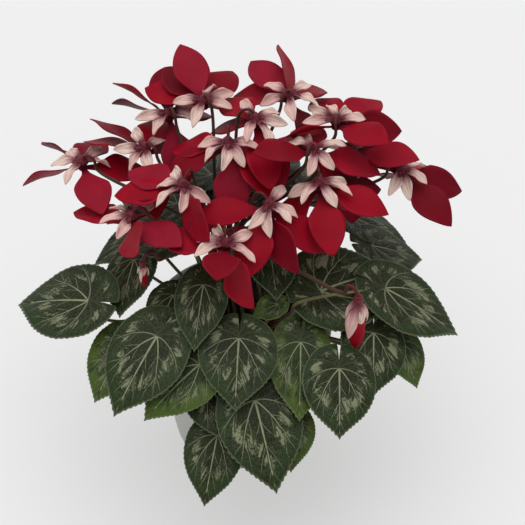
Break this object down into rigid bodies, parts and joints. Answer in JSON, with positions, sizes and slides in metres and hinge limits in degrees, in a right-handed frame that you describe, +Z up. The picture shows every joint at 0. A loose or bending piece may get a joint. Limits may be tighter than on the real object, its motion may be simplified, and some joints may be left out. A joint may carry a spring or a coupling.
{
  "type": "potted cyclamen",
  "caption": "Potted cyclamen: a plain tapered pot, a low dome of silver-marked heart-shaped leaves and a bunch of red blooms with pale lobes on thin stems.",
  "frame": {"origin": "centre of the pot's flat underside, on the surface it stands on", "axes": "+Z up along the pot's axis, -Y towards the front of the plant as the picture shows it, +X to its right"},
  "size_m": [0.257, 0.2315, 0.2256],
  "materials": {
    "pot": "plain pale grey moulded plastic, satin, no marks",
    "soil": "dark peaty potting soil, crumbly and matt",
    "tuber": "brown corky skin, rough and matt",
    "leaf": "dark grey-green with silvery blotches in a ring and pale veins, softly waxy",
    "leaf_young": "brighter yellow-green with dark grey-green patches and pale veins, softly waxy",
    "petal": "deep crimson with a satin sheen and fine streaks along the petal",
    "lobe": "blush cream lobes with faint mauve veins on a mauve calyx and a red-brown stem",
    "bud": "red tip of folded petals, cream lobes and a mauve calyx on a red-brown stem"
  },
  "bodies": {
    "root": {"bloom_01_lobes": "lobe", "bloom_01_petals": "petal", "bloom_02_lobes": "lobe", "bloom_02_petals": "petal", "bloom_03_lobes": "lobe", "bloom_03_petals": "petal", "bloom_04_lobes": "lobe", "bloom_04_petals": "petal", "bloom_05_lobes": "lobe", "bloom_05_petals": "petal", "bloom_06_lobes": "lobe", "bloom_06_petals": "petal", "bloom_07_lobes": "lobe", "bloom_07_petals": "petal", "bloom_09_lobes": "lobe", "bloom_09_petals": "petal", "bloom_10_lobes": "lobe", "bloom_10_petals": "petal", "bloom_11_lobes": "lobe", "bloom_11_petals": "petal", "bloom_12_lobes": "lobe", "bloom_12_petals": "petal", "bloom_13_lobes": "lobe", "bloom_13_petals": "petal", "bloom_14_lobes": "lobe", "bloom_14_petals": "petal", "bloom_15_lobes": "lobe", "bloom_15_petals": "petal", "bloom_16_lobes": "lobe", "bloom_16_petals": "petal", "bloom_17_lobes": "lobe", "bloom_17_petals": "petal", "bud_left": "bud", "bud_right": "bud", "leaf_01": "leaf", "leaf_02": "leaf", "leaf_04": "leaf_young", "leaf_05": "leaf", "leaf_06": "leaf_young", "leaf_07": "leaf", "leaf_08": "leaf", "leaf_10": "leaf", "leaf_11": "leaf", "leaf_12": "leaf_young", "leaf_13": "leaf", "leaf_14": "leaf_young", "leaf_15": "leaf", "leaf_16": "leaf", "leaf_17": "leaf", "leaf_20": "leaf", "leaf_21": "leaf_young", "leaf_22": "leaf", "leaf_24": "leaf_young", "leaf_25": "leaf", "pot": "pot", "soil": "soil", "spray_back": "leaf", "spray_left": "leaf", "spray_right": "leaf", "tuber": "tuber"}
  },
  "joints": []
}
